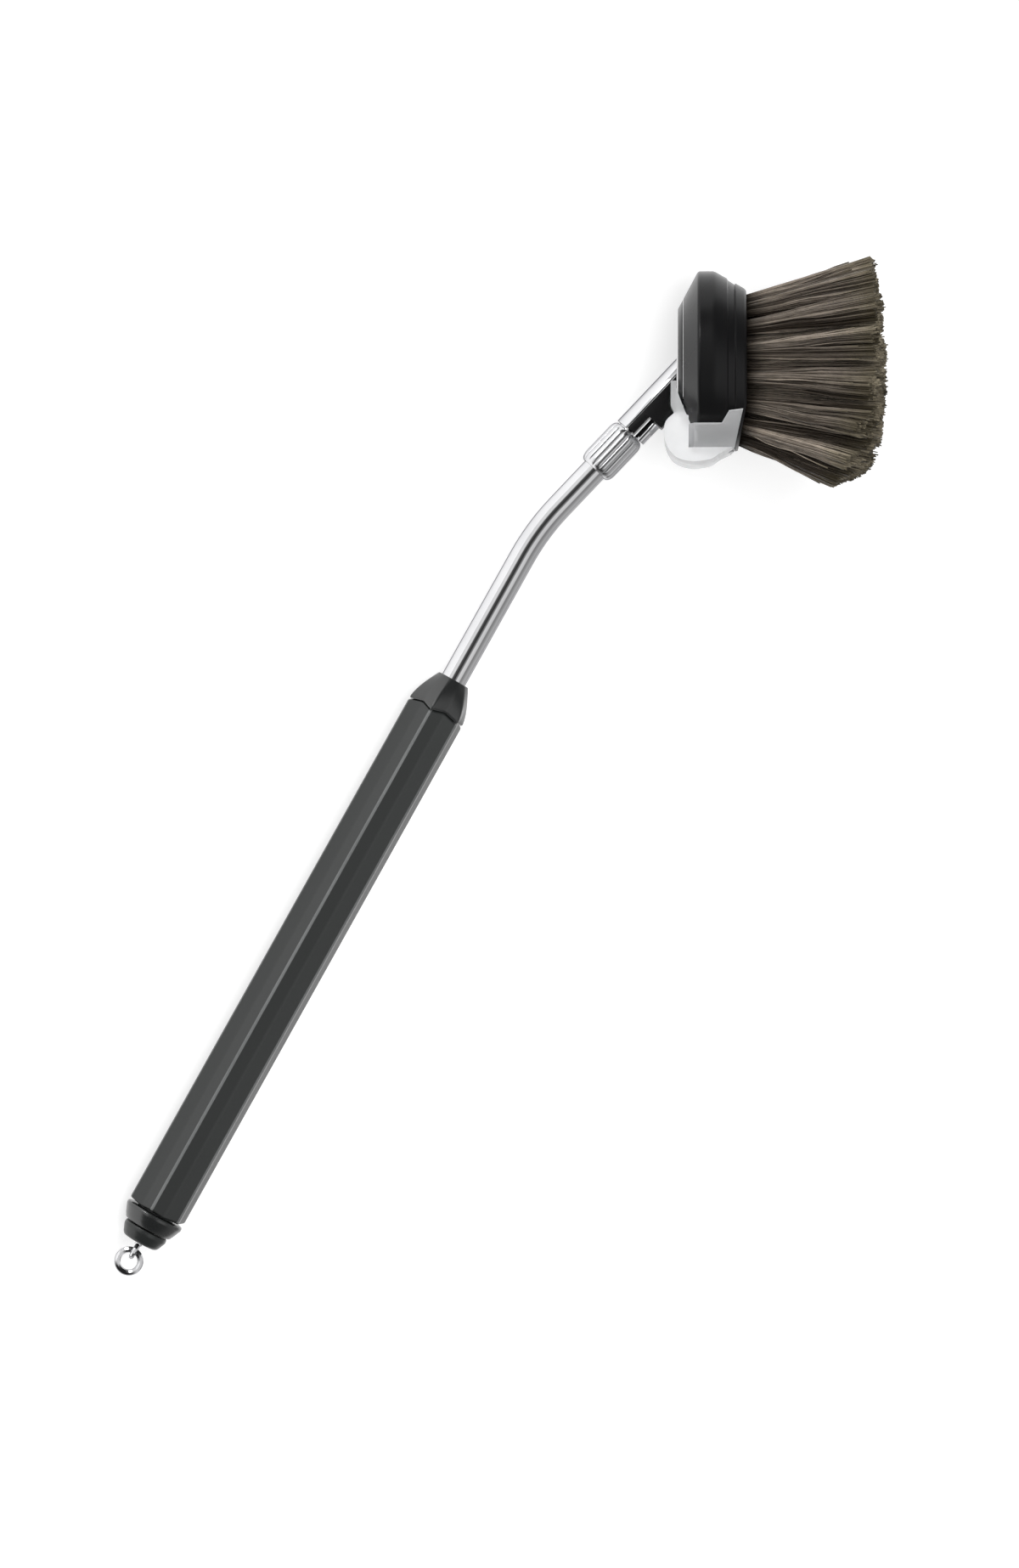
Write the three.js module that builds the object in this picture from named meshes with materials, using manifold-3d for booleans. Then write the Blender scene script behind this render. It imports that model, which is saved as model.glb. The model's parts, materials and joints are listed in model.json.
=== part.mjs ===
// A long-handled scrubbing brush: a fluted hexagonal grip, a bent chrome stem with a spring-loaded
// lock collar, a round head with a clip-on scraper, and a small hanging ring. Millimetres, +Z up.
//
// The brush is drawn with its grip along X, its head leaning towards -Y and Z = 0 as its plane of
// symmetry. X = 0 is the tip of the nose cap. At the end it is rolled into the pose it lies in.
import * as THREE from 'three';
import { mergeVertices } from 'three/addons/utils/BufferGeometryUtils.js';
import Module from 'manifold-3d';

const wasm = await Module();
wasm.setup();

const DEG = Math.PI / 180;
const GAP = 0.3; // air between fitted pieces

// Grip
const GRIP_REAR = -136.4;
const GRIP_FRONT = -8;
const RIDGE_RADIUS = 7.3;
const FLUTE_RADIUS = 5.85;
const GRIP_SIDES = 6;
const GRIP_TURN = 7 * DEG; // of the ridges about the grip's axis, out of the brush's plane of symmetry
const GRIP_BORE = 4.6;
const CORE_OUTER = GRIP_BORE - GAP;
const CORE_INNER = 3.2;
const SPIGOT_LENGTH = 5;

// Stem
const STEM_RADIUS = 2.9;
const STEM_REAR = -56;
const STEM_BEND_X = 38.4;
const STEM_BEND_ANGLE = 14.3 * DEG;
const STEM_BEND_TANGENT = 6;
const STEM_END = 24; // along the neck, from the bend
const STEM_BORE = STEM_RADIUS + GAP;
const SPIGOT_RADIUS = 0.8; // of the thin end that the arm sits on
const SPIGOT_REACH = 2.5;
const PIN_X = -25;
const PIN_RADIUS = 0.9;

// Nose cap and rear end
const NOSE_TIP_RADIUS = 3.8;
const SEAL_RADIUS = 0.42;
const SEAL_X = -3.4;
const SEAL_AIR = 0.15;
const END_RING_REAR = -140.4;
const PLUG_REAR = -144;
const EYE_X = -146.3;
const EYE_RADIUS = 1.5;
const EYE_WIRE = 0.55;
const RING_RADIUS = 2.6;
const RING_WIRE = 0.7;

// Lock collar, along the neck
const COLLAR_REAR = 18.6;
const COLLAR_FRONT = 29.8;
const COLLAR_RIB_RADIUS = 4.25;
const COLLAR_VALLEY_RADIUS = 3.95;
const COLLAR_RIBS = 16;
const COLLAR_END_RADIUS = 3.72;
const COLLAR_END_LENGTH = 0.9;
const SPRING_FRONT = 27;
const SPRING_BORE = 3.65;
const SPRING_RADIUS = 3.3;
const SPRING_WIRE = 0.2;
const SPRING_TURNS = 5;
const SEAT_REAR = 19;
const SEAT_FRONT = 19.7;
const SEAT_RADIUS = 3.5;
const SEAT_AIR = 0.1;
const FINGER_DROP = -2.75; // below the neck axis
const FINGER_RADIUS = 1.35;
const FINGER_REAR = 29;
const FINGER_FRONT = 38.4;
const FINGER_NOSE = 0.6;

// Neck, along the neck axis
const NECK_LENGTH = 45.7; // from the bend to the back of the head
const ARM_REAR = 30.1;
const ARM_RADIUS = 3.8;
const TONGUE_TOP = 0.9;
const TONGUE_BOTTOM = -1;
const NECK_BLOCK_REAR = 35.4;
const NECK_BLOCK_BOTTOM = -4.7;
const NECK_HALF_WIDTH = 3.8;
const NECK_CORNER = 1.3;
const BLADE_REAR = 27.5; // a thin blade of the neck runs back into a slot in the arm
const BLADE_BOTTOM = -0.4;
const BLADE_WIDTH = 4;

// Head, in depth from its back plane
const HEAD_ANGLE = 60.8 * DEG; // between the grip and the head's axis
const HEAD_OFFSET = 4.6; // the neck meets the back this far from the head's axis, towards the heel
const BACK_RADIUS = 11.6;
const RIM_RADIUS = 20;
const FACE_RADIUS = 18.1;
const FACE_SHIFT = 2.2; // the middle of the bristles' face lies this far towards the heel
const HEAD_DEPTH = 15.2;
const COVER_THICKNESS = 1.1;
const RIM_REAR = 4.5;
const RIM_FRONT = 8.1;
const BAND_REAR = 10.9; // a shallow band runs round the front of the head
const BAND_FRONT = 12.8;
const BAND_DROP = 0.35;
const SLANT_START = 10.9; // this far from the head's axis the face starts to slant back at the heel
const SLANT = 0.2; // and by this much for each millimetre on
const REAR_CAVITY = 5.6;
const REAR_CAVITY_RADIUS = 12;
const WEB_FRONT = 7.4;
const PLATE_RADIUS = 16.7;
const PLATE_FRONT = 14.8;
const PLATE_SCREW_BORE = 1.5;
const PLATE_BORE_DEPTH = 11.4;

// Scraper, in depth and in distance from the head's axis towards the heel
const SCRAPER_AIR = 0.35;
const SLEEVE_THICKNESS = 1.15;
const SLEEVE_HALF_WIDTH = 17;
const SLEEVE_REAR = 2.3;
const SLEEVE_TOP = 15;
const SLEEVE_FOOT = 20.2;
const BLADE_HALF_WIDTH = 12;
const EAR = { top: 5.2, knee: 10.6, foot: 15.6, inner: 4.4, outer: 9.5, thickness: 1.25 };

// Tufts: in each ring the count, the middle radius at the foot and at the tip, and both tuft radii
const TUFT_RINGS = [
  { name: 'outer', count: 16, foot: 15.2, tip: 22.6, footRadius: 1.9, tipRadius: 3.6, front: 43.4 },
  { name: 'middle', count: 10, foot: 9.4, tip: 13.6, footRadius: 2, tipRadius: 3.8, front: 45.6 },
  { name: 'inner', count: 5, foot: 4, tip: 5.4, footRadius: 1.8, tipRadius: 2.9, front: 46.4 },
];
const TUFT_REAR = 16.1;
const TIP_SHIFT = 2.5; // like FACE_SHIFT, for the tips of the tufts
const HEEL_FLARE = 0.8; // the outer tufts lean this much further at the heel, and less at the toe
const HEEL_CUT = 3.6; // the outer tufts are cut this much shorter at the heel
const TUFT_SIDES = 8;

// The pose in which the brush lies on a table
const REST_ROLL = -43.065 * DEG;

const ROUND = 24;
const FINE = 48;

// Materials -------------------------------------------------------------------------------------

function material(color, roughness, metalness) {
  return new THREE.MeshStandardMaterial({ color, roughness, metalness });
}

const charcoal = material(0x4b4d4d, 0.5, 0.1);
const darkPlastic = material(0x333535, 0.45, 0.05);
const headPlastic = material(0x1c1c1d, 0.35, 0);
const chrome = material(0xc9ccce, 0.12, 1);
const steel = material(0x8f9294, 0.35, 1);
const aluminium = material(0xb4b6b8, 0.4, 1);
const sealRubber = material(0x161616, 0.85, 0);
const frosted = material(0xdfe5e8, 0.5, 0);
const bristle = material(0x5c5246, 0.8, 0);

// Solid helpers ---------------------------------------------------------------------------------

// Welds a geometry into one closed body with its faces pointing out.
function closed(geometry) {
  const bare = geometry.clone();
  bare.deleteAttribute('normal');
  bare.deleteAttribute('uv');
  const welded = mergeVertices(bare);
  const points = welded.attributes.position;
  const source = welded.index.array;
  const faces = [];
  let volume = 0;
  const a = new THREE.Vector3();
  const b = new THREE.Vector3();
  const c = new THREE.Vector3();
  for (let i = 0; i < source.length; i += 3) {
    const corners = [source[i], source[i + 1], source[i + 2]];
    if (new Set(corners).size === 3) {
      a.fromBufferAttribute(points, corners[0]);
      b.fromBufferAttribute(points, corners[1]);
      c.fromBufferAttribute(points, corners[2]);
      volume += a.dot(b.cross(c));
      faces.push(corners);
    }
  }
  const outward = volume < 0 ? faces.map(([p, q, r]) => [p, r, q]) : faces;
  welded.setIndex(outward.flat());
  return welded;
}

function toSolid(geometry) {
  const body = closed(geometry);
  const vertProperties = Float32Array.from(body.attributes.position.array);
  const triVerts = Uint32Array.from(body.index.array);
  return new wasm.Manifold(new wasm.Mesh({ numProp: 3, vertProperties, triVerts }));
}

function toGeometry(solid) {
  const mesh = solid.getMesh();
  const geometry = new THREE.BufferGeometry();
  geometry.setAttribute('position', new THREE.BufferAttribute(mesh.vertProperties, 3));
  geometry.setIndex(Array.from(mesh.triVerts));
  return geometry;
}

function cut(geometry, ...tools) {
  return toGeometry(tools.reduce((body, tool) => body.subtract(toSolid(tool)), toSolid(geometry)));
}

function join(geometry, ...others) {
  return toGeometry(others.reduce((body, other) => body.add(toSolid(other)), toSolid(geometry)));
}

function common(geometry, other) {
  return toGeometry(toSolid(geometry).intersect(toSolid(other)));
}

// A body turned about X from [x, radius] points that start and end on the axis or close on themselves.
function turned(profile, segments = ROUND) {
  const points = profile.map(([x, radius]) => new THREE.Vector2(radius, x));
  return closed(new THREE.LatheGeometry(points, segments).rotateZ(-Math.PI / 2));
}

function rod(radius, from, to, segments = ROUND) {
  const along = new THREE.CylinderGeometry(radius, radius, to - from, segments);
  return closed(along.rotateZ(-Math.PI / 2).translate((from + to) / 2, 0, 0));
}

function tube(outer, inner, from, to, segments = ROUND) {
  return turned([[from, inner], [from, outer], [to, outer], [to, inner], [from, inner]], segments);
}

function block(x, y, z) {
  const size = [x, y, z].map(([low, high]) => high - low);
  const middle = [x, y, z].map(([low, high]) => (low + high) / 2);
  return closed(new THREE.BoxGeometry(...size).translate(...middle));
}

// A round wire along a curve.
function wire(curve, radius, steps, sides) {
  const section = new THREE.Shape();
  section.absarc(0, 0, radius, 0, 2 * Math.PI);
  return closed(new THREE.ExtrudeGeometry(section, {
    steps, curveSegments: sides / 2, bevelEnabled: false, extrudePath: curve,
  }));
}

// An outline in (y, z) carried from one x to another.
function along(points, from, to, hole) {
  const outline = new THREE.Shape(points.map(([y, z]) => new THREE.Vector2(y, z)));
  if (hole) {
    outline.holes.push(new THREE.Path().absarc(0, 0, hole, 0, 2 * Math.PI, true));
  }
  const bar = new THREE.ExtrudeGeometry(outline, {
    depth: to - from, curveSegments: ROUND / 2, bevelEnabled: false,
  });
  // (x, y, z) of the extrusion becomes (z, x, y), so its length runs along X
  const turn = new THREE.Matrix4().makeBasis(
    new THREE.Vector3(0, 1, 0), new THREE.Vector3(0, 0, 1), new THREE.Vector3(1, 0, 0));
  return closed(bar.applyMatrix4(turn).translate(from, 0, 0));
}

// Points of a star that alternates between two radii, its first point turned from +Z towards +Y.
function star(count, outer, inner, turn = 0) {
  return Array.from({ length: 2 * count }, (_, i) => {
    const angle = (i * Math.PI) / count - turn;
    const radius = i % 2 === 0 ? outer : inner;
    return [-radius * Math.sin(angle), radius * Math.cos(angle)];
  });
}

function piece(parent, name, geometry, look) {
  const mesh = new THREE.Mesh(geometry, look);
  mesh.name = name;
  parent.add(mesh);
  return mesh;
}

// The three frames of the brush -----------------------------------------------------------------

const brush = new THREE.Group(); // grip along X
const neck = new THREE.Group(); // X along the neck from the bend, Y away from the heel
const head = new THREE.Group(); // X along the head's axis from its back plane, Y towards the toe

neck.position.set(STEM_BEND_X, 0, 0);
neck.rotation.z = -STEM_BEND_ANGLE;
const neckDirection = new THREE.Vector3(1, 0, 0).applyEuler(neck.rotation);
head.rotation.z = -HEAD_ANGLE;
const toeDirection = new THREE.Vector3(0, 1, 0).applyEuler(head.rotation);
head.position.copy(neck.position)
  .addScaledVector(neckDirection, NECK_LENGTH)
  .addScaledVector(toeDirection, HEAD_OFFSET);
brush.add(neck, head);

// Half-space behind the head's back plane, in the neck's frame.
function behindHead(air) {
  const size = 60;
  return closed(new THREE.BoxGeometry(size, size, size)
    .translate(-size / 2 - air, 0, 0)
    .rotateZ(STEM_BEND_ANGLE - HEAD_ANGLE)
    .translate(NECK_LENGTH, 0, 0));
}

// Grip ------------------------------------------------------------------------------------------

function buildGrip() {
  const ridges = star(GRIP_SIDES, RIDGE_RADIUS, FLUTE_RADIUS, GRIP_TURN);
  piece(brush, 'grip_sleeve', along(ridges, GRIP_REAR, GRIP_FRONT, GRIP_BORE), charcoal);

  const coreFront = GRIP_FRONT - SPIGOT_LENGTH - GAP;
  const coreRear = GRIP_REAR + SPIGOT_LENGTH + GAP;
  const core = tube(CORE_OUTER, CORE_INNER, coreRear, coreFront);
  const pinHole = rod(PIN_RADIUS + GAP / 2, -RIDGE_RADIUS, RIDGE_RADIUS, 12)
    .rotateZ(Math.PI / 2).translate(PIN_X, 0, 0);
  piece(brush, 'grip_core', cut(core, pinHole), aluminium);

  const pin = rod(PIN_RADIUS, -CORE_OUTER, CORE_OUTER, 12).rotateZ(Math.PI / 2).translate(PIN_X, 0, 0);
  piece(brush, 'cross_pin', pin, steel);
  return pinHole;
}

function buildNose() {
  const foot = GRIP_FRONT + GAP;
  const grooveHalf = SEAL_RADIUS + SEAL_AIR;
  const grooveRadius = STEM_BORE + 2 * SEAL_RADIUS + SEAL_AIR;
  const nose = turned([
    [GRIP_FRONT - SPIGOT_LENGTH, STEM_BORE],
    [GRIP_FRONT - SPIGOT_LENGTH, CORE_OUTER],
    [foot, CORE_OUTER],
    [foot, RIDGE_RADIUS],
    [-4.6, 6.6],
    [-1.9, 5.2],
    [-0.5, NOSE_TIP_RADIUS + 0.3],
    [0, NOSE_TIP_RADIUS],
    [0, STEM_BORE],
    [SEAL_X + grooveHalf, STEM_BORE],
    [SEAL_X + grooveHalf, grooveRadius],
    [SEAL_X - grooveHalf, grooveRadius],
    [SEAL_X - grooveHalf, STEM_BORE],
    [GRIP_FRONT - SPIGOT_LENGTH, STEM_BORE],
  ], 36);
  // the ridges of the grip run on into the foot of the cap
  const outline = star(GRIP_SIDES, RIDGE_RADIUS + 0.05, FLUTE_RADIUS + 0.45, GRIP_TURN);
  const ridges = along(outline, GRIP_FRONT - SPIGOT_LENGTH, 1);
  piece(brush, 'nose_cap', common(nose, ridges), darkPlastic);

  const seal = new THREE.TorusGeometry(STEM_BORE + SEAL_RADIUS + SEAL_AIR / 3, SEAL_RADIUS, 6, ROUND)
    .rotateY(Math.PI / 2).translate(SEAL_X, 0, 0);
  piece(brush, 'nose_seal', closed(seal), sealRubber);
}

function buildRearEnd() {
  const shoulder = GRIP_REAR - GAP;
  const ringBore = 2.3;
  const plugFront = GRIP_REAR + 3;
  piece(brush, 'end_ring', turned([
    [GRIP_REAR + SPIGOT_LENGTH, ringBore],
    [GRIP_REAR + SPIGOT_LENGTH, CORE_OUTER],
    [shoulder, CORE_OUTER],
    [shoulder, 6.75],
    [shoulder - 0.7, 6.9],
    [shoulder - 2.6, 6.1],
    [END_RING_REAR, 5.5],
    [END_RING_REAR, ringBore],
    [GRIP_REAR + SPIGOT_LENGTH, ringBore],
  ], 36), darkPlastic);

  const shankBore = 1.2;
  piece(brush, 'end_plug', turned([
    [plugFront, shankBore],
    [plugFront, ringBore - GAP],
    [END_RING_REAR - GAP, ringBore - GAP],
    [END_RING_REAR - GAP, 5.1],
    [END_RING_REAR - 1.2, 5.2],
    [PLUG_REAR + 0.5, 4.4],
    [PLUG_REAR, 3.9],
    [PLUG_REAR, shankBore],
    [plugFront, shankBore],
  ], 36), charcoal);

  const loop = new THREE.TorusGeometry(EYE_RADIUS, EYE_WIRE, 8, 18)
    .rotateX(Math.PI / 2).translate(EYE_X, 0, 0);
  const shank = rod(shankBore - GAP, EYE_X + EYE_RADIUS, GRIP_REAR, 12);
  piece(brush, 'hang_eye', join(loop, shank), chrome);

  const ring = new THREE.TorusGeometry(RING_RADIUS, RING_WIRE, 8, 24)
    .translate(EYE_X - RING_RADIUS, 0, 0);
  piece(brush, 'hang_ring', closed(ring), chrome);
}

// Stem and lock collar --------------------------------------------------------------------------

function buildStem(pinHole) {
  const bend = new THREE.Vector3(STEM_BEND_X, 0, 0);
  const onNeck = (s) => bend.clone().addScaledVector(neckDirection, s);
  const bendStart = new THREE.Vector3(STEM_BEND_X - STEM_BEND_TANGENT, 0, 0);
  const route = new THREE.CurvePath();
  route.add(new THREE.LineCurve3(new THREE.Vector3(STEM_REAR, 0, 0), bendStart));
  route.add(new THREE.QuadraticBezierCurve3(bendStart, bend, onNeck(STEM_BEND_TANGENT)));
  route.add(new THREE.LineCurve3(onNeck(STEM_BEND_TANGENT), onNeck(STEM_END)));
  const spigot = rod(SPIGOT_RADIUS, STEM_END - 1, STEM_END + SPIGOT_REACH, 12)
    .rotateZ(-STEM_BEND_ANGLE).translate(STEM_BEND_X, 0, 0);
  const stem = join(wire(route, STEM_RADIUS, 36, 20), spigot);
  piece(brush, 'stem_rod', cut(stem, pinHole), chrome);
}

function buildArm() {
  const rootRear = STEM_END + GAP;
  const reach = NECK_LENGTH + 10;
  const wide = 2 * ARM_RADIUS;
  const root = rod(STEM_RADIUS, rootRear, ARM_REAR + 1);
  const barrel = rod(ARM_RADIUS, ARM_REAR, reach, 32);
  const upper = common(barrel, block([ARM_REAR, reach], [TONGUE_TOP + GAP, wide], [-wide, wide]));
  const arm = cut(join(root, upper),
    block([rootRear - 1, reach], [-wide, TONGUE_BOTTOM - GAP / 2], [-wide, wide]),
    block([ARM_REAR, reach], [-wide, TONGUE_TOP + GAP], [-wide, wide]),
    block([BLADE_REAR - GAP, reach], [BLADE_BOTTOM - GAP, TONGUE_TOP],
      [-BLADE_WIDTH / 2 - GAP, BLADE_WIDTH / 2 + GAP]),
    rod(SPIGOT_RADIUS + GAP, rootRear - 1, STEM_END + SPIGOT_REACH + GAP, 12));
  piece(neck, 'stem_arm', common(arm, behindHead(GAP)), chrome);
}

function buildCollar() {
  const ribs = along(star(COLLAR_RIBS, COLLAR_RIB_RADIUS, COLLAR_VALLEY_RADIUS), COLLAR_REAR, COLLAR_FRONT);
  const rounded = turned([
    [COLLAR_REAR, 0],
    [COLLAR_REAR, COLLAR_END_RADIUS],
    [COLLAR_REAR + COLLAR_END_LENGTH, COLLAR_RIB_RADIUS],
    [COLLAR_FRONT - COLLAR_END_LENGTH, COLLAR_RIB_RADIUS],
    [COLLAR_FRONT, COLLAR_END_RADIUS],
    [COLLAR_FRONT, 0],
  ], 2 * COLLAR_RIBS);
  const barrel = cut(common(ribs, rounded),
    rod(STEM_BORE, COLLAR_REAR - 1, COLLAR_FRONT + 1),
    rod(SPRING_BORE, COLLAR_REAR - 1, SPRING_FRONT));
  piece(neck, 'lock_collar', barrel, chrome);

  piece(neck, 'spring_seat', tube(SEAT_RADIUS, STEM_RADIUS + SEAT_AIR, SEAT_REAR, SEAT_FRONT), steel);

  const springRear = SEAT_FRONT + SPRING_WIRE + SEAT_AIR;
  const springLength = SPRING_FRONT - SPRING_WIRE - SEAT_AIR - springRear;
  class Coil extends THREE.Curve {
    getPoint(t, target = new THREE.Vector3()) {
      const angle = 2 * Math.PI * SPRING_TURNS * t;
      return target.set(springRear + springLength * t,
        SPRING_RADIUS * Math.cos(angle), SPRING_RADIUS * Math.sin(angle));
    }
  }
  piece(neck, 'collar_spring', wire(new Coil(), SPRING_WIRE, 12 * SPRING_TURNS, 6), steel);

  const finger = turned([
    [FINGER_REAR, 0],
    [FINGER_REAR, FINGER_RADIUS],
    [FINGER_FRONT - FINGER_NOSE, FINGER_RADIUS],
    [FINGER_FRONT, FINGER_RADIUS - FINGER_NOSE],
    [FINGER_FRONT, 0],
  ], 16).translate(0, FINGER_DROP, 0);
  piece(neck, 'lock_finger', common(finger, fingerRoom()), chrome);
}

// The space the finger may fill: its rear end lies inside the collar, so it is trimmed to the bore.
function fingerRoom() {
  const bore = rod(STEM_BORE - GAP / 2, FINGER_REAR - 1, COLLAR_FRONT + GAP);
  const wide = 9;
  const open = block([COLLAR_FRONT + GAP, FINGER_FRONT + 1], [-wide, wide], [-wide, wide]);
  return join(bore, open);
}

// Head ------------------------------------------------------------------------------------------

function buildNeckBlock() {
  const reach = NECK_LENGTH + 10;
  const corner = NECK_CORNER;
  const outline = new THREE.Shape();
  const [bottom, top, side] = [NECK_BLOCK_BOTTOM, TONGUE_TOP, NECK_HALF_WIDTH];
  outline.moveTo(top, side);
  outline.lineTo(bottom + corner, side);
  outline.quadraticCurveTo(bottom, side, bottom, side - corner);
  outline.lineTo(bottom, corner - side);
  outline.quadraticCurveTo(bottom, -side, bottom + corner, -side);
  outline.lineTo(top, -side);
  const section = outline.getPoints(4).map(({ x, y }) => [x, y]);
  const lump = along(section, NECK_BLOCK_REAR, reach);
  const tongue = block([ARM_REAR + GAP, NECK_BLOCK_REAR + 1], [TONGUE_BOTTOM, TONGUE_TOP], [-3.5, 3.5]);
  const blade = block([BLADE_REAR, ARM_REAR + 1], [BLADE_BOTTOM, TONGUE_TOP - GAP],
    [-BLADE_WIDTH / 2, BLADE_WIDTH / 2]);
  const fingerHole = rod(FINGER_RADIUS + GAP, NECK_BLOCK_REAR - 1, FINGER_FRONT + 0.6, 16)
    .translate(0, FINGER_DROP, 0);
  const body = cut(join(lump, tongue, blade), fingerHole);
  return common(body, behindHead(GAP));
}

const SCREWS = { toe: -9, side: 2.2, shank: 0.8, headRadius: 1.6, length: 3.2, headThickness: 1 };

function screwHole(side) {
  const { toe, shank, length } = SCREWS;
  return rod(shank + GAP / 2, -length - GAP, COVER_THICKNESS + 2, 12).translate(0, toe, side);
}

// From the head's frame into the neck's.
function headToNeck() {
  const turn = new THREE.Matrix4().makeRotationZ(STEM_BEND_ANGLE - HEAD_ANGLE);
  const shift = new THREE.Vector3(0, HEAD_OFFSET, 0).applyMatrix4(turn);
  return turn.setPosition(NECK_LENGTH + shift.x, shift.y, 0);
}

// Radius of the head where it narrows from its rim to its face.
function taper(depth) {
  return RIM_RADIUS + ((FACE_RADIUS - RIM_RADIUS) * (depth - RIM_FRONT)) / (HEAD_DEPTH - RIM_FRONT);
}

// Leans a turned body towards the heel, from nothing at the rim to FACE_SHIFT at the face.
function skewed(body) {
  const points = body.attributes.position;
  for (let i = 0; i < points.count; i += 1) {
    const share = Math.max(0, (points.getX(i) - RIM_FRONT) / (HEAD_DEPTH - RIM_FRONT));
    points.setY(i, points.getY(i) - FACE_SHIFT * share);
  }
  return body;
}

// How far the face slants back at a distance from the head's axis towards the heel.
function slant(heel) {
  return SLANT * Math.max(0, heel - SLANT_START);
}

// The space in front of the slanted face, drawn back by some depth.
function beforeSlant(back) {
  const beyond = RIM_RADIUS + 5;
  const front = HEAD_DEPTH + 5;
  return acrossHead([
    [HEAD_DEPTH - back, SLANT_START],
    [HEAD_DEPTH - back - slant(beyond), beyond],
    [front, beyond],
    [front, SLANT_START],
  ], beyond);
}

function backEdge(depth) {
  return BACK_RADIUS + (RIM_RADIUS - BACK_RADIUS) * (depth / RIM_REAR);
}

function buildHead() {
  const sides = [SCREWS.side, -SCREWS.side];
  const holes = sides.map((side) => screwHole(side).applyMatrix4(headToNeck()));
  piece(neck, 'head_neck', cut(buildNeckBlock(), ...holes), headPlastic);

  const cover = turned([
    [0, 0],
    [0, BACK_RADIUS],
    [COVER_THICKNESS, backEdge(COVER_THICKNESS)],
    [COVER_THICKNESS, 0],
  ], FINE);
  piece(head, 'back_cover', cut(cover, ...sides.map(screwHole)), headPlastic);

  sides.forEach((side, i) => {
    const { toe, shank, headRadius, length, headThickness } = SCREWS;
    const top = COVER_THICKNESS + GAP;
    const screw = turned([
      [-length, 0],
      [-length, shank],
      [top, shank],
      [top, headRadius],
      [top + headThickness, headRadius - 0.3],
      [top + headThickness, 0],
    ], 12).translate(0, toe, side);
    piece(head, `neck_screw_${i + 1}`, screw, steel);
  });

  const bodyRear = COVER_THICKNESS + GAP;
  const lipChamfer = 0.5;
  const outside = skewed(turned([
    [bodyRear, 0],
    [bodyRear, backEdge(bodyRear)],
    [RIM_REAR, RIM_RADIUS],
    [RIM_FRONT, RIM_RADIUS],
    [BAND_REAR, taper(BAND_REAR)],
    [BAND_REAR + 0.2, taper(BAND_REAR) - BAND_DROP],
    [BAND_FRONT - 0.2, taper(BAND_FRONT) - BAND_DROP],
    [BAND_FRONT, taper(BAND_FRONT)],
    [HEAD_DEPTH - lipChamfer, taper(HEAD_DEPTH - lipChamfer)],
    [HEAD_DEPTH, FACE_RADIUS - lipChamfer / 2],
    [HEAD_DEPTH, 0],
  ], FINE));
  piece(head, 'head_body', cut(outside,
    rod(REAR_CAVITY_RADIUS, 0, REAR_CAVITY, FINE),
    rod(PLATE_RADIUS + GAP, WEB_FRONT, HEAD_DEPTH + 1, FINE).translate(0, -FACE_SHIFT, 0),
    rod(PLATE_SCREW_BORE, 0, HEAD_DEPTH, 16).translate(0, -FACE_SHIFT, 0),
    beforeSlant(0)), headPlastic);

  const plateRear = WEB_FRONT + GAP;
  const plate = turned([
    [plateRear, PLATE_SCREW_BORE],
    [plateRear, PLATE_RADIUS],
    [PLATE_FRONT, PLATE_RADIUS],
    [PLATE_FRONT, 0],
    [PLATE_BORE_DEPTH, 0],
    [PLATE_BORE_DEPTH, PLATE_SCREW_BORE],
    [plateRear, PLATE_SCREW_BORE],
  ], FINE).translate(0, -FACE_SHIFT, 0);
  piece(head, 'bristle_plate', cut(plate, beforeSlant(HEAD_DEPTH - PLATE_FRONT)), headPlastic);

  const screwTop = REAR_CAVITY - GAP;
  piece(head, 'plate_screw', turned([
    [screwTop - 1.3, 0],
    [screwTop - 1.3, 2.1],
    [screwTop, 2.5],
    [screwTop, PLATE_SCREW_BORE - GAP],
    [PLATE_BORE_DEPTH - GAP, PLATE_SCREW_BORE - GAP],
    [PLATE_BORE_DEPTH - GAP, 0],
  ], 16).translate(0, -FACE_SHIFT, 0), steel);
}

// The head's outside from its back plane to past its face, grown all round by some air.
function headEnvelope(air) {
  const front = HEAD_DEPTH + 1;
  return skewed(turned([
    [-air, 0],
    [-air, BACK_RADIUS + 0.25 * air],
    [RIM_REAR - 0.6 * air, RIM_RADIUS + air],
    [RIM_FRONT, RIM_RADIUS + air],
    [front, taper(front) + air],
    [front, 0],
  ], 60));
}

// A side view in (depth, heel) carried across the head from -half to half.
function acrossHead(points, half) {
  const outline = new THREE.Shape(points.map(([depth, heel]) => new THREE.Vector2(depth, -heel)));
  const bar = new THREE.ExtrudeGeometry(outline, { depth: 2 * half, bevelEnabled: false });
  return closed(bar.translate(0, 0, -half));
}

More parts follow.
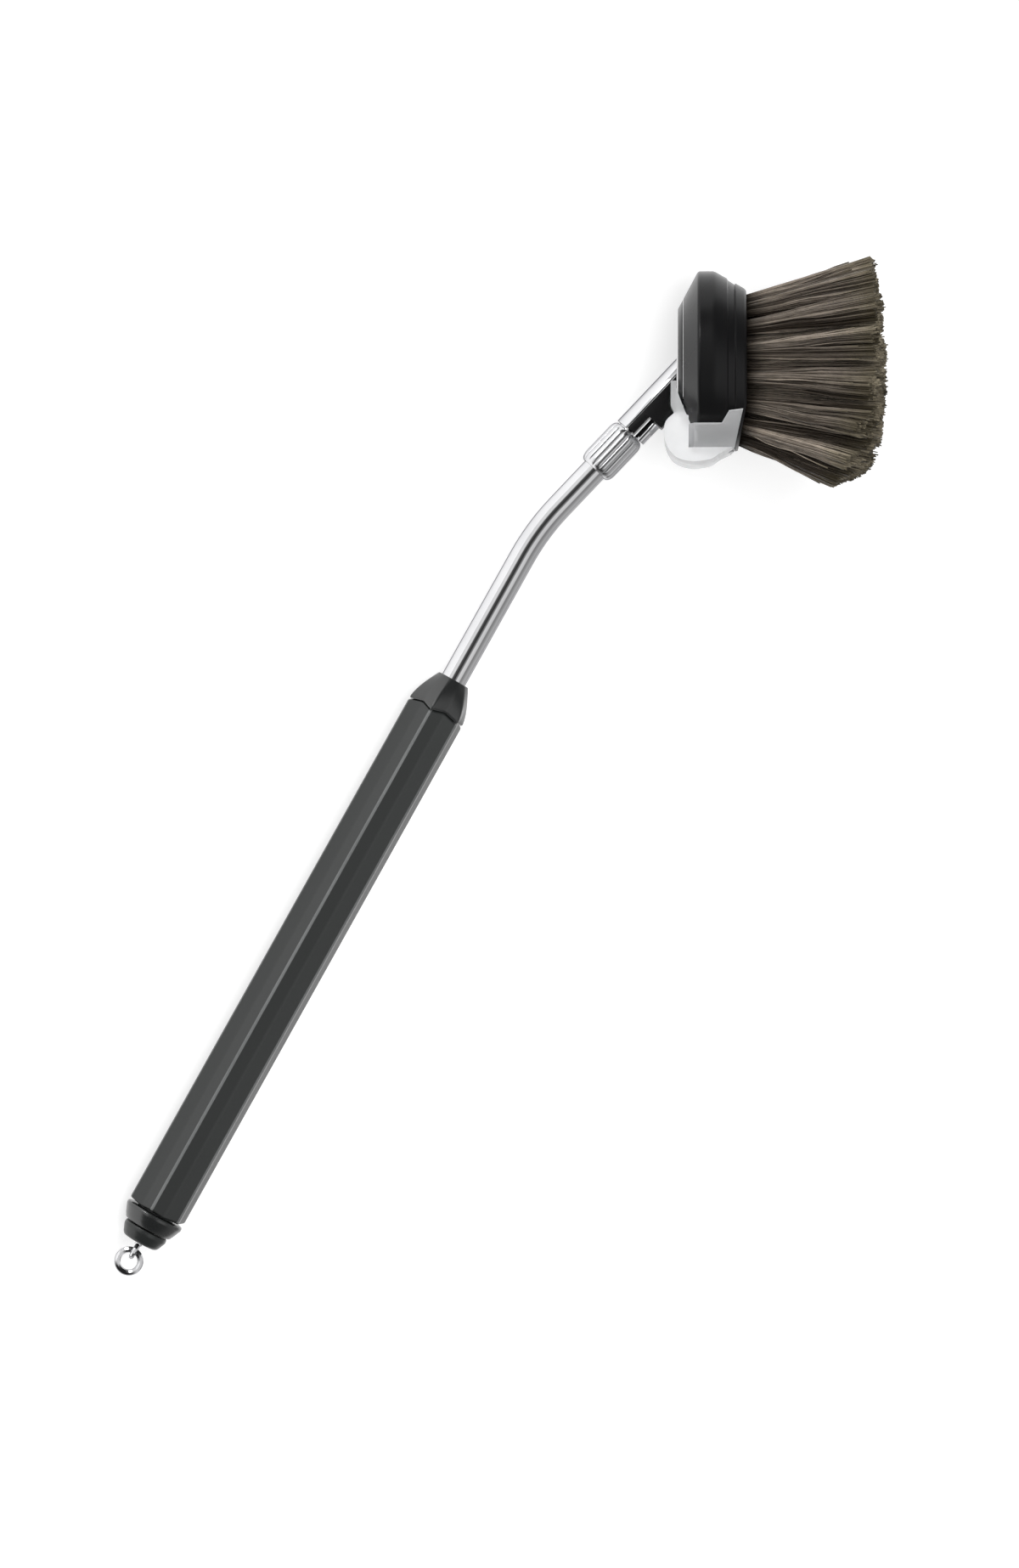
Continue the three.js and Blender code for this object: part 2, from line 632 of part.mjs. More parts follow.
function buildScraper() {
  // a sleeve that follows the heel of the head, with a horn up its front edge
  const sleeve = common(
    acrossHead([
      [SLEEVE_REAR, SLEEVE_TOP],
      [9.7, SLEEVE_TOP],
      [11.3, 12.4],
      [14.4, 12],
      [12.6, 19.8],
      [12, SLEEVE_FOOT + 0.05],
      [SLEEVE_REAR, SLEEVE_FOOT + 0.05],
    ], SLEEVE_HALF_WIDTH),
    headEnvelope(SCRAPER_AIR + SLEEVE_THICKNESS));

  // a straight blade below the sleeve and behind the head's back
  const edge = new THREE.SplineCurve([
    [-0.9, 12.6],
    [-2.9, 14.8],
    [-2.8, 18.9],
    [-0.7, 22.1],
    [3, 23.3],
    [7.2, 22.8],
    [9.6, 21.3],
    [12, SLEEVE_FOOT],
  ].map(([depth, heel]) => new THREE.Vector2(depth, heel)));
  const blade = cut(
    acrossHead([[0.6, 12.4], ...edge.getPoints(ROUND).map(({ x, y }) => [x, y]), [12, 17]], BLADE_HALF_WIDTH),
    block([SLEEVE_REAR + 0.05, HEAD_DEPTH], [-SLEEVE_FOOT, 0], [-SLEEVE_HALF_WIDTH, SLEEVE_HALF_WIDTH]));

  // two ears that stand up the head's back on either side of the neck
  const earRear = -SCRAPER_AIR - EAR.thickness;
  const earFront = 4;
  const ear = acrossHead([
    [earRear, EAR.top],
    [earRear, EAR.knee],
    [0.6, EAR.foot],
    [earFront, EAR.foot],
    [earFront, EAR.top],
  ], EAR.outer);
  const ears = [1, -1].map((side) => common(ear, block(
    [earRear - 1, earFront + 1],
    [-EAR.foot - 1, 0],
    side > 0 ? [EAR.inner, EAR.outer + 1] : [-EAR.outer - 1, -EAR.inner])));

  const clear = NECK_HALF_WIDTH + SCRAPER_AIR;
  const below = NECK_BLOCK_BOTTOM - SCRAPER_AIR;
  const neckRoom = block([0, NECK_LENGTH + 5], [below, ARM_RADIUS], [-clear, clear])
    .applyMatrix4(headToNeck().invert());
  const whole = cut(join(sleeve, blade, ...ears), headEnvelope(SCRAPER_AIR), neckRoom);
  piece(head, 'scraper', whole, frosted);
}

function buildTufts() {
  for (const ring of TUFT_RINGS) {
    for (let i = 0; i < ring.count; i += 1) {
      const angle = (2 * Math.PI * (i + 0.5)) / ring.count;
      const heel = ring.name === 'outer' ? (1 - Math.cos(angle)) / 2 : 0.5; // 0 at the toe, 1 at the heel
      const flare = HEEL_FLARE * (2 * heel - 1);
      const trim = ring.name === 'outer' ? HEEL_CUT * heel ** 3 : 0;
      const place = (x, radius, shift) =>
        new THREE.Vector3(x, radius * Math.cos(angle) - shift, radius * Math.sin(angle));
      const foot = place(TUFT_REAR, ring.foot, FACE_SHIFT);
      foot.x -= slant(-foot.y);
      const tip = place(ring.front - trim, ring.tip + flare, TIP_SHIFT);
      const axis = tip.clone().sub(foot);
      const cone = new THREE.CylinderGeometry(ring.tipRadius, ring.footRadius, axis.length(), TUFT_SIDES);
      const lean = new THREE.Quaternion().setFromUnitVectors(
        new THREE.Vector3(0, 1, 0), axis.clone().normalize());
      cone.applyQuaternion(lean);
      cone.translate(...foot.add(tip).multiplyScalar(0.5).toArray());
      const number = String(i + 1).padStart(2, '0');
      piece(head, `tuft_${ring.name}_${number}`, closed(cone), bristle);
    }
  }
}

const pinHole = buildGrip();
buildNose();
buildRearEnd();
buildStem(pinHole);
buildArm();
buildCollar();
buildHead();
buildScraper();
buildTufts();

// Lying on a table: rolled about the grip, then set down with its box centred on the origin.
const group = new THREE.Group();
group.add(brush);
brush.rotation.x = REST_ROLL;
const bounds = new THREE.Box3().setFromObject(group, true);
const middle = bounds.getCenter(new THREE.Vector3());
brush.position.set(-middle.x, -middle.y, -bounds.min.z);

export default group;
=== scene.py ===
# The look of a long-handled scrubbing brush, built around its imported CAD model. Metres, row frame.
import json
import math
import random

import bmesh
import bpy
from mathutils import Matrix, Vector


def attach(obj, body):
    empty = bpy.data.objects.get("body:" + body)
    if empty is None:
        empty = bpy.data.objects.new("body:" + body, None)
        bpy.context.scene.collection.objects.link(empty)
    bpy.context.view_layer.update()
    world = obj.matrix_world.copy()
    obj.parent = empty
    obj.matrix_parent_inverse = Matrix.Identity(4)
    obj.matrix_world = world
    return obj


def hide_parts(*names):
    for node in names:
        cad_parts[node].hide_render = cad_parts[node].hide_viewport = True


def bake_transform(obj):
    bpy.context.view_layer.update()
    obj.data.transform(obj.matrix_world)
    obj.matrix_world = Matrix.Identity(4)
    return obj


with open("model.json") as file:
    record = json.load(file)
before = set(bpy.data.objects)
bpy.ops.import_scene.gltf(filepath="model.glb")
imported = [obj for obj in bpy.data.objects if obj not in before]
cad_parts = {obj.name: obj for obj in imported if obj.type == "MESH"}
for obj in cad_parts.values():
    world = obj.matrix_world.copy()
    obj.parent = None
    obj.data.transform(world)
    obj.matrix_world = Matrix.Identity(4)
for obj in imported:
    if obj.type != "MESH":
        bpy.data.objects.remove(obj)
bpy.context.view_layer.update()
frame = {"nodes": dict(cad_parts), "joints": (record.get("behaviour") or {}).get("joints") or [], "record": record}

MM = 0.001
SEED = 41

# Angles and sections that the frame's record doesn't carry, as the design has them
HEAD_ANGLE = math.radians(60.8)  # between the grip and the head's axis
RIDGE_RADIUS = 7.3 * MM
FLUTE_RADIUS = 5.85 * MM
GRIP_SIDES = 6
GRIP_TURN = math.radians(7)  # of the ridges about the grip's axis, from its side towards its back
STEM_RADIUS = 2.9 * MM
COLLAR_RIBS = 16
COLLAR_RIB_RADIUS = 4.25 * MM
COLLAR_VALLEY_RADIUS = 4.0 * MM
COLLAR_END_RADIUS = 3.45 * MM

# The head's body, in depth from its back plane
BACK_RADIUS = 11.6 * MM
RIM_RADIUS = 20 * MM
FACE_RADIUS = 18.1 * MM
FACE_SHIFT = 2.2 * MM  # the face lies this far towards the heel
HEAD_DEPTH = 15.2 * MM
RIM_REAR = 4.5 * MM
RIM_FRONT = 8.1 * MM
BAND_REAR = 10.9 * MM
BAND_FRONT = 12.8 * MM
BAND_DROP = 0.35 * MM
CAVITY_RADIUS = 12 * MM
CAVITY_DEPTH = 5.6 * MM
WEB_FRONT = 7.4 * MM
PLATE_HOLE = 17 * MM
SCREW_HOLE = 1.5 * MM
SLANT_START = 10.9 * MM  # this far from the axis the face starts to slant back at the heel
SLANT = 0.2
TUFT_AIR = 1.3 * MM  # from the face up to the tufts' solids

# The camera looks at the brush's side, with the grip slanting up to the right
VIEW_TURN = math.radians(2)
GRIP_SLANT = math.radians(60.8)
CAMERA_DISTANCE = 1.3
FRAME_HEIGHT = 0.3507  # what the picture's height takes in, at the brush
FRAME_CENTRE = (12.5 * MM, -23.3 * MM)  # right and up in the picture, from the tip of the nose cap

# The studio's softboxes: degrees round the grip from the camera, positive to the right,
# and how bright
SOFTBOXES = [(-180, 0.4), (-110, 0.25), (-84, 0.35), (-72, 1.05), (-24, 1.05), (-14, 0.08),
             (8, 0.02), (13, 0.2), (20, 0.28), (27, 0.95), (50, 0.85), (60, 0.3), (120, 0.25),
             (180, 0.4)]
SOFTBOX_REACH = 0.35  # along the grip, as the cosine of the angle to it, where they start to fade
SOFTBOX_END = 0.65
AMBIENT_FRONT = 0.03
AMBIENT_BACK = 0.35


# ---------------------------------------------------------------- the brush's own axes

JOINTS = {joint["name"]: joint for joint in frame["joints"]}
GRIP_POINT = Vector(JOINTS["ring_swing"]["pos_m"])
GRIP_AXIS = Vector((1, 0, 0))
BACK_AXIS = Vector(JOINTS["ring_swing"]["axis"]).normalized()
SIDE_AXIS = GRIP_AXIS.cross(BACK_AXIS)
NECK_AXIS = Vector(JOINTS["head_release"]["axis"]).normalized()
NECK_BACK = SIDE_AXIS.cross(NECK_AXIS)
HEAD_AXIS = math.cos(HEAD_ANGLE) * GRIP_AXIS - math.sin(HEAD_ANGLE) * BACK_AXIS
TOE_AXIS = SIDE_AXIS.cross(HEAD_AXIS)


def axes(origin, x_axis, y_axis):
    """The matrix of a frame with that origin, its X and Y along the given axes."""
    rows = Matrix((x_axis, y_axis, x_axis.cross(y_axis))).transposed().to_4x4()
    rows.translation = origin
    return rows


def node_points(node):
    return [v.co.copy() for v in frame["nodes"][node].data.vertices]


def middle(points):
    return sum(points, Vector()) / len(points)


def span(node, origin, axis):
    """The least and greatest distance of a node along an axis from a point."""
    reach = [(p - origin).dot(axis) for p in node_points(node)]
    return min(reach), max(reach)


NOSE_TIP = GRIP_POINT + GRIP_AXIS * span("nose_cap", GRIP_POINT, GRIP_AXIS)[1]
GRIP_FRAME = axes(NOSE_TIP, GRIP_AXIS, BACK_AXIS)
COLLAR_MIDDLE = middle(node_points("lock_collar"))
TO_BEND = (COLLAR_MIDDLE - NOSE_TIP).dot(BACK_AXIS) / NECK_AXIS.dot(BACK_AXIS)
BEND = COLLAR_MIDDLE - NECK_AXIS * TO_BEND
NECK_FRAME = axes(BEND, NECK_AXIS, NECK_BACK)


def head_origin():
    """The head's middle on its back plane, from the round cover at its back."""
    points = node_points("back_cover")
    toe = [(p - NOSE_TIP).dot(TOE_AXIS) for p in points]
    back = min((p - NOSE_TIP).dot(HEAD_AXIS) for p in points)
    return NOSE_TIP + TOE_AXIS * (min(toe) + max(toe)) / 2 + HEAD_AXIS * back


HEAD_FRAME = axes(head_origin(), HEAD_AXIS, TOE_AXIS)


# ---------------------------------------------------------------- camera, lights and floor

def picture_axes():
    """Right, up and towards the camera, for the view the brush is shown in."""
    towards = math.cos(VIEW_TURN) * SIDE_AXIS - math.sin(VIEW_TURN) * BACK_AXIS
    across = towards.cross(GRIP_AXIS)
    right = math.cos(GRIP_SLANT) * GRIP_AXIS - math.sin(GRIP_SLANT) * across
    up = math.sin(GRIP_SLANT) * GRIP_AXIS + math.cos(GRIP_SLANT) * across
    return right, up, towards


RIGHT, UP, TOWARDS = picture_axes()


def make_camera():
    data = bpy.data.cameras.new("camera")
    data.sensor_width = 36
    data.lens = data.sensor_width * CAMERA_DISTANCE / FRAME_HEIGHT
    data.clip_start = 0.05
    data.clip_end = 20
    camera = bpy.data.objects.new("camera", data)
    bpy.context.scene.collection.objects.link(camera)
    target = NOSE_TIP + RIGHT * FRAME_CENTRE[0] + UP * FRAME_CENTRE[1]
    pose = Matrix((RIGHT, UP, TOWARDS)).transposed().to_4x4()
    pose.translation = target + TOWARDS * CAMERA_DISTANCE
    camera.matrix_world = pose
    bpy.context.scene.camera = camera


def area_light(name, direction, distance, size, power, glossy):
    data = bpy.data.lights.new(name, "AREA")
    data.shape = "RECTANGLE"
    data.size, data.size_y = size
    data.energy = power
    lamp = bpy.data.objects.new(name, data)
    bpy.context.scene.collection.objects.link(lamp)
    direction = direction.normalized()
    lamp.location = NOSE_TIP + direction * distance
    lamp.rotation_mode = "QUATERNION"
    lamp.rotation_quaternion = direction.to_track_quat("Z", "Y")
    lamp.visible_glossy = glossy


def make_world():
    """A pale studio whose long softboxes lie beside the grip, with dark stretches between them."""
    world = bpy.data.worlds.new("studio")
    bpy.context.scene.world = world
    world.use_nodes = True
    tree = world.node_tree
    tree.nodes.clear()
    across = TOWARDS.cross(GRIP_AXIS)
    where = tree.nodes.new("ShaderNodeTexCoord")

    def along(axis):
        dot = tree.nodes.new("ShaderNodeVectorMath")
        dot.operation = "DOT_PRODUCT"
        dot.inputs[1].default_value = axis
        tree.links.new(where.outputs["Generated"], dot.inputs[0])
        return dot.outputs["Value"]

    def maths(operation, first, second):
        made = tree.nodes.new("ShaderNodeMath")
        made.operation = operation
        for socket, value in zip(made.inputs, (first, second)):
            if isinstance(value, (int, float)):
                socket.default_value = value
            else:
                tree.links.new(value, socket)
        return made.outputs[0]

    def carried(value, low, high, bottom, top):
        made = tree.nodes.new("ShaderNodeMapRange")
        made.interpolation_type = "SMOOTHSTEP"
        for socket, number in zip(made.inputs[1:5], (low, high, bottom, top)):
            socket.default_value = number
        tree.links.new(value, made.inputs["Value"])
        return made.outputs[0]

    angle = maths("ARCTAN2", along(-across), along(TOWARDS))
    turn = maths("DIVIDE", maths("ADD", angle, math.pi), math.tau)
    ramp = tree.nodes.new("ShaderNodeValToRGB")
    ramp.color_ramp.interpolation = "EASE"
    elements = ramp.color_ramp.elements
    elements[0].position = 0
    elements[1].position = 1
    for degrees, _ in SOFTBOXES[1:-1]:
        elements.new((degrees + 180) / 360)
    for element, (_, level) in zip(elements, SOFTBOXES):
        element.color = (level, level, level, 1)
    tree.links.new(turn, ramp.inputs[0])
    reach = maths("ABSOLUTE", along(GRIP_AXIS), 0)
    window = carried(reach, SOFTBOX_REACH, SOFTBOX_END, 1, 0)
    ambient = carried(along(TOWARDS), -0.2, 0.5, AMBIENT_BACK, AMBIENT_FRONT)
    light = tree.nodes.new("ShaderNodeBackground")
    total = maths("ADD", maths("MULTIPLY", ramp.outputs[0], window), ambient)
    tree.links.new(total, light.inputs["Strength"])
    out = tree.nodes.new("ShaderNodeOutputWorld")
    tree.links.new(light.outputs[0], out.inputs["Surface"])


def make_floor():
    size = 6
    mesh = bpy.data.meshes.new("floor")
    corners = [(-size, -size, 0), (size, -size, 0), (size, size, 0), (-size, size, 0)]
    mesh.from_pydata(corners, [], [(0, 1, 2, 3)])
    floor = bpy.data.objects.new("floor", mesh)
    bpy.context.scene.collection.objects.link(floor)
    floor.location.z = -0.0002
    floor.data.materials.append(plain_floor())


# ---------------------------------------------------------------- materials

class Surface:
    """A principled material with a few procedural helpers."""

    def __init__(self, name, colour, roughness, metallic=0.0):
        self.material = bpy.data.materials.new(name)
        self.material.use_nodes = True
        self.tree = self.material.node_tree
        self.shader = self.tree.nodes["Principled BSDF"]
        self.shader.inputs["Base Color"].default_value = (*colour, 1)
        self.shader.inputs["Roughness"].default_value = roughness
        self.shader.inputs["Metallic"].default_value = metallic
        self.colour = colour
        self.roughness = roughness

    def node(self, kind, **values):
        made = self.tree.nodes.new("ShaderNode" + kind)
        for key, value in values.items():
            setattr(made, key, value)
        return made

    def link(self, source, target):
        self.tree.links.new(source, target)

    def place(self, stretch=(1, 1, 1)):
        """Position in the object, stretched along the row's axes."""
        where = self.node("TexCoord")
        scaled = self.node("Mapping")
        scaled.inputs["Scale"].default_value = stretch
        self.link(where.outputs["Object"], scaled.inputs["Vector"])
        return scaled.outputs["Vector"]

    def noise(self, scale, detail=4, stretch=(1, 1, 1)):
        texture = self.node("TexNoise")
        texture.inputs["Scale"].default_value = scale
        texture.inputs["Detail"].default_value = detail
        self.link(self.place(stretch), texture.inputs["Vector"])
        return texture.outputs["Fac"]

    def ramp(self, value, low, high, bottom=0.0, top=1.0):
        """The value carried from low..high to bottom..top, held at both ends."""
        scaled = self.node("MapRange")
        limits = (("From Min", low), ("From Max", high), ("To Min", bottom), ("To Max", top))
        for key, number in limits:
            scaled.inputs[key].default_value = number
        self.link(value, scaled.inputs["Value"])
        return scaled.outputs[0]

    def mix(self, amount, first, second):
        """Between two colours, each a colour or a socket."""
        mixed = self.node("Mix", data_type="RGBA")
        if isinstance(amount, float):
            mixed.inputs["Factor"].default_value = amount
        else:
            self.link(amount, mixed.inputs["Factor"])
        for key, value in ((6, first), (7, second)):
            if isinstance(value, tuple):
                mixed.inputs[key].default_value = (*value, 1)
            else:
                self.link(value, mixed.inputs[key])
        return mixed.outputs[2]

    def edges(self, width):
        """1 on convex edges, 0 on flat ground, from how far the bevelled normal leans."""
        soft = self.node("Bevel", samples=6)
        soft.inputs["Radius"].default_value = width
        ground = self.node("NewGeometry")
        dot = self.node("VectorMath", operation="DOT_PRODUCT")
        self.link(soft.outputs["Normal"], dot.inputs[0])
        self.link(ground.outputs["Normal"], dot.inputs[1])
        return self.ramp(dot.outputs["Value"], 0.995, 0.93)

    def colour_from(self, socket):
        self.link(socket, self.shader.inputs["Base Color"])

    def roughness_from(self, value, spread):
        varied = self.ramp(value, 0.3, 0.7, self.roughness - spread, self.roughness + spread)
        self.link(varied, self.shader.inputs["Roughness"])

    def bump(self, height, strength, distance):
        bumped = self.node("Bump")
        bumped.inputs["Strength"].default_value = strength
        bumped.inputs["Distance"].default_value = distance
        self.link(height, bumped.inputs["Height"])
        self.link(bumped.outputs["Normal"], self.shader.inputs["Normal"])


def moulded(name, colour, edge_highlight, roughness, gloss, grain):
    """Moulded plastic: a fine grain, faint flow marks, and a painted highlight that makes its edges a little
    paler.
    """
    surface = Surface(name, colour, roughness)
    clouds = surface.noise(45, 3)
    fine = surface.noise(2600, 2)
    shade = surface.ramp(clouds, 0.3, 0.7, 0.0, 0.35)
    deeper = tuple(c * 0.7 for c in colour)
    ground = surface.mix(shade, colour, deeper)
    # Convex edges are mixed to a paler colour: a painted highlight along the edges.
    surface.colour_from(surface.mix(surface.edges(0.35 * MM), ground, edge_highlight))
    surface.roughness_from(clouds, 0.06)
    surface.shader.inputs["Specular IOR Level"].default_value = gloss
    surface.bump(fine, grain, 0.05 * MM)
    return surface


def soft_touch():
    """The grip's satin charcoal coating, with a faint lengthwise drag in it, and a painted highlight along its
    ridges.
    """
    surface = Surface("grip_charcoal", (0.019, 0.0205, 0.020), 0.32)
    clouds = surface.noise(30, 4, (0.25, 1, 1))
    drag = surface.noise(900, 3, (0.05, 1, 1))
    grain = surface.noise(3200, 2)
    ridge = surface.node("Attribute", attribute_name="ridge").outputs["Fac"]
    ground = surface.mix(surface.ramp(clouds, 0.3, 0.7), (0.0145, 0.0157, 0.0154),
                         (0.0185, 0.0202, 0.0197))
    # The drag noise breaks up the painted highlight on the ridge tops.
    ridge_highlight_break = surface.ramp(drag, 0.2, 0.6, 0.6, 1.0)
    ridge_highlight_mask = surface.node("Math", operation="MULTIPLY")
    surface.link(ridge, ridge_highlight_mask.inputs[0])
    surface.link(ridge_highlight_break, ridge_highlight_mask.inputs[1])
    # The ridge tops are mixed to a pale colour: a painted highlight.
    surface.colour_from(surface.mix(ridge_highlight_mask.outputs[0], ground, (0.12, 0.124, 0.124)))
    surface.roughness_from(drag, 0.025)
    surface.bump(grain, 0.25, 0.04 * MM)
    return surface


def polished_chrome(name, roughness, spread):
    """Chrome with faint smears; a dark specular tint paints it darker where it turns away from the eye."""
    surface = Surface(name, (0.80, 0.81, 0.83), roughness, 1.0)
    # The dark specular tint is painted shade at grazing angles.
    surface.shader.inputs["Specular Tint"].default_value = (0.12, 0.12, 0.13, 1)
    smears = surface.noise(120, 5, (0.4, 1, 1))
    surface.roughness_from(smears, spread)
    surface.colour_from(surface.mix(
        surface.ramp(smears, 0.35, 0.75), (0.78, 0.78, 0.79), (0.67, 0.67, 0.685)))
    surface.bump(surface.noise(260, 2), 0.05, 0.05 * MM)
    return surface


def turned_steel():
    surface = Surface("turned_steel", (0.5, 0.51, 0.52), 0.3, 1.0)
    marks = surface.noise(1500, 3)
    surface.roughness_from(marks, 0.1)
    surface.bump(marks, 0.15, 0.03 * MM)
    return surface


def frosted_plastic():
    surface = Surface("frosted_plastic", (0.90, 0.91, 0.92), 0.36)
    haze = surface.noise(180, 4)
    surface.shader.inputs["Transmission Weight"].default_value = 0.75
    surface.shader.inputs["IOR"].default_value = 1.3
    surface.colour_from(surface.mix(
        surface.ramp(haze, 0.3, 0.7), (0.93, 0.935, 0.94), (0.87, 0.875, 0.885)))
    surface.roughness_from(haze, 0.06)
    surface.bump(surface.noise(900, 3), 0.12, 0.05 * MM)
    return surface


def rubber():
    surface = Surface("seal_rubber", (0.02, 0.02, 0.02), 0.8)
    surface.bump(surface.noise(2000, 2), 0.2, 0.03 * MM)
    return surface


def bristle_fibre():
    """Grey-brown fibre: each has its own tone, painted shade darkens it at the root, and it is faintly olive at
    the tip.
    """
    surface = Surface("bristle_fibre", (0.10, 0.08, 0.06), 0.42)
    own = surface.node("Attribute", attribute_name="own_shade").outputs["Fac"]
    reach = surface.node("Attribute", attribute_name="reach").outputs["Fac"]
    body = surface.mix(own, (0.022, 0.016, 0.011), (0.42, 0.355, 0.29))
    tips = surface.mix(own, (0.030, 0.024, 0.013), (0.31, 0.268, 0.19))
    aged = surface.mix(surface.ramp(reach, 0.72, 1.0), body, tips)
    # Painted shade: near-black where the fibres crowd together at the root.
    root_shaded = surface.mix(surface.ramp(reach, 0.0, 0.2), (0.012, 0.010, 0.008), aged)
    streaks = surface.noise(700, 3)
    surface.colour_from(surface.mix(
        surface.ramp(streaks, 0.45, 0.8, 0.0, 0.35), root_shaded, (0.03, 0.024, 0.018)))
    surface.roughness_from(streaks, 0.08)
    surface.shader.inputs["Specular IOR Level"].default_value = 0.35
    return surface


def plain_floor():
    """A pale light table: it glows a little, so that shadows stay faint."""
    surface = Surface("floor", (0.5, 0.5, 0.5), 0.9)
    surface.shader.inputs["Specular IOR Level"].default_value = 0
    surface.shader.inputs["Emission Color"].default_value = (1, 1, 1, 1)
    surface.shader.inputs["Emission Strength"].default_value = 0.66
    return surface.material


CHARCOAL = soft_touch()
# The third colour of each is its painted edge highlight.
DARK = moulded("dark_plastic", (0.013, 0.014, 0.014), (0.05, 0.052, 0.052), 0.27, 0.95, 0.2)
BLACK = moulded("head_plastic", (0.006, 0.006, 0.0063), (0.010, 0.010, 0.0105), 0.28, 0.22, 0.12)
CHROME = polished_chrome("polished_chrome", 0.07, 0.035)
SATIN = polished_chrome("satin_chrome", 0.24, 0.04)
STEEL = turned_steel()
FROSTED = frosted_plastic()
RUBBER = rubber()
FIBRE = bristle_fibre()

LOOKS = {
    "charcoal": CHARCOAL,
    "dark_plastic": DARK,
    "head_plastic": BLACK,
    "chrome": CHROME,
    "steel": STEEL,
    "aluminium": STEEL,
    "seal_rubber": RUBBER,
    "frosted": FROSTED,
    "bristle": FIBRE,
}


# ---------------------------------------------------------------- pieces

def soften(node, width, segments=3, angle=30):
    """Rounds a CAD node's sharp edges with modifiers, and shades it smooth between them."""
    piece = frame["nodes"][node]
    for name in ("custom_normal", "sharp_edge", "sharp_face"):
        if name in piece.data.attributes:
            piece.data.attributes.remove(piece.data.attributes[name])
    for face in piece.data.polygons:
        face.use_smooth = True
    weld = piece.modifiers.new("weld", "WELD")
    weld.merge_threshold = 0.002 * MM
    if width:
        bevel = piece.modifiers.new("bevel", "BEVEL")
        bevel.width = width
        bevel.segments = segments
        bevel.limit_method = "ANGLE"
        bevel.angle_limit = math.radians(angle)
        bevel.use_clamp_overlap = True
    split = piece.modifiers.new("split", "EDGE_SPLIT")
    split.split_angle = math.radians(angle)
    return piece


def dress():
    """Each CAD node's material, from its slot in the record."""
    for part in frame["record"]["subparts"]:
        mesh = frame["nodes"][part["node"]].data
        mesh.materials.clear()
        mesh.materials.append(LOOKS[part["material_slot"]].material)


def shaped(name, points, faces, look, body, node, smooth_angle=40, ridge=()):
    """A new mesh in the row frame that stands for a CAD node; ridge marks the points that get a painted highlight.
    """
    mesh = bpy.data.meshes.new(name)
    mesh.from_pydata(points, [], faces)
    if ridge:
        mesh.attributes.new("ridge", "FLOAT", "POINT").data.foreach_set("value", ridge)
    mesh.validate()
    work = bmesh.new()
    work.from_mesh(mesh)
    bmesh.ops.recalc_face_normals(work, faces=work.faces)
    work.to_mesh(mesh)
    work.free()
    for face in mesh.polygons:
        face.use_smooth = True
    mesh.set_sharp_from_angle(angle=math.radians(smooth_angle))
    mesh.materials.append(look.material)
    piece = bpy.data.objects.new(name, mesh)
    bpy.context.scene.collection.objects.link(piece)
    if body:
        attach(piece, body)
    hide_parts(node)
    return piece


def ring_faces(rings, count, closed=True):
    """Quads between successive rings of count points; closed joins the last to the first."""
    faces = []
    for i in range(rings if closed else rings - 1):
        a, b = i * count, ((i + 1) % rings) * count
        for j in range(count):
            k = (j + 1) % count
            faces.append((a + j, a + k, b + k, b + j))
    return faces


def rounded(corners, cuts, margin=0.1 * MM, steps=6):
    """A closed line's corners, each rounded over its own cut; a cut of 0 leaves one as it is."""
    points = []
    for i, (corner, cut) in enumerate(zip(corners, cuts)):
        if cut == 0:
            points.append(corner)
            continue
        before = (corners[i - 1] - corner).normalized()
        after = (corners[(i + 1) % len(corners)] - corner).normalized()
        start, finish = corner + before * cut, corner + after * cut
        points.append(start + before * margin)
        for k in range(steps + 1):
            t = k / steps
            points.append(start * (1 - t) ** 2 + corner * 2 * t * (1 - t) + finish * t ** 2)
        points.append(finish + after * margin)
    return points


def grip_outline():
    """The grip's section as (back, side) points, its ridges and flutes a little rounded."""
    corners, cuts = [], []
    for i in range(2 * GRIP_SIDES):
        angle = math.pi * i / GRIP_SIDES - GRIP_TURN
        radius = FLUTE_RADIUS if i % 2 else RIDGE_RADIUS
        corners.append(Vector((-radius * math.sin(angle), radius * math.cos(angle))))
        cuts.append((0.4 if i % 2 else 0.5) * MM)
    return rounded(corners, cuts)


OUTLINE = grip_outline()
CORNER_POINTS = len(OUTLINE) // (2 * GRIP_SIDES)


def on_ridge(j):
    """Whether a point of the outline lies on the very top of a ridge."""
    return j // CORNER_POINTS % 2 == 0 and abs(j % CORNER_POINTS - CORNER_POINTS // 2) < 3


FOOT_DEPTH = -7.7  # millimetres from the cap's tip, at the flutes
FOOT_SLOPE = 0.62


def grip_foot(point):
    """Where the grip ends under the nose cap, from the tip: cut back at the ridges like a pencil."""
    return (FOOT_DEPTH - FOOT_SLOPE * (point.length - FLUTE_RADIUS) / MM) * MM


class Rings:
    """Rings of points round an axis, joined into one closed body."""

    def __init__(self, place, count):
        self.place = place
        self.count = count
        self.points = []
        self.rings = 0

    def add(self, point_at):
        for j in range(self.count):
            self.points.append(self.place @ Vector(point_at(j)))
        self.rings += 1

    def circle(self, x, radius):
        step = math.tau / self.count
        self.add(lambda j: (x, -radius * math.sin(j * step), radius * math.cos(j * step)))

    def faces(self):
        return ring_faces(self.rings, self.count)


def outline_circle(rings, x, radius):
    """A ring round the grip's axis whose points stand under those of the outline."""
    rings.add(lambda j: (x, *(OUTLINE[j].normalized() * radius)))


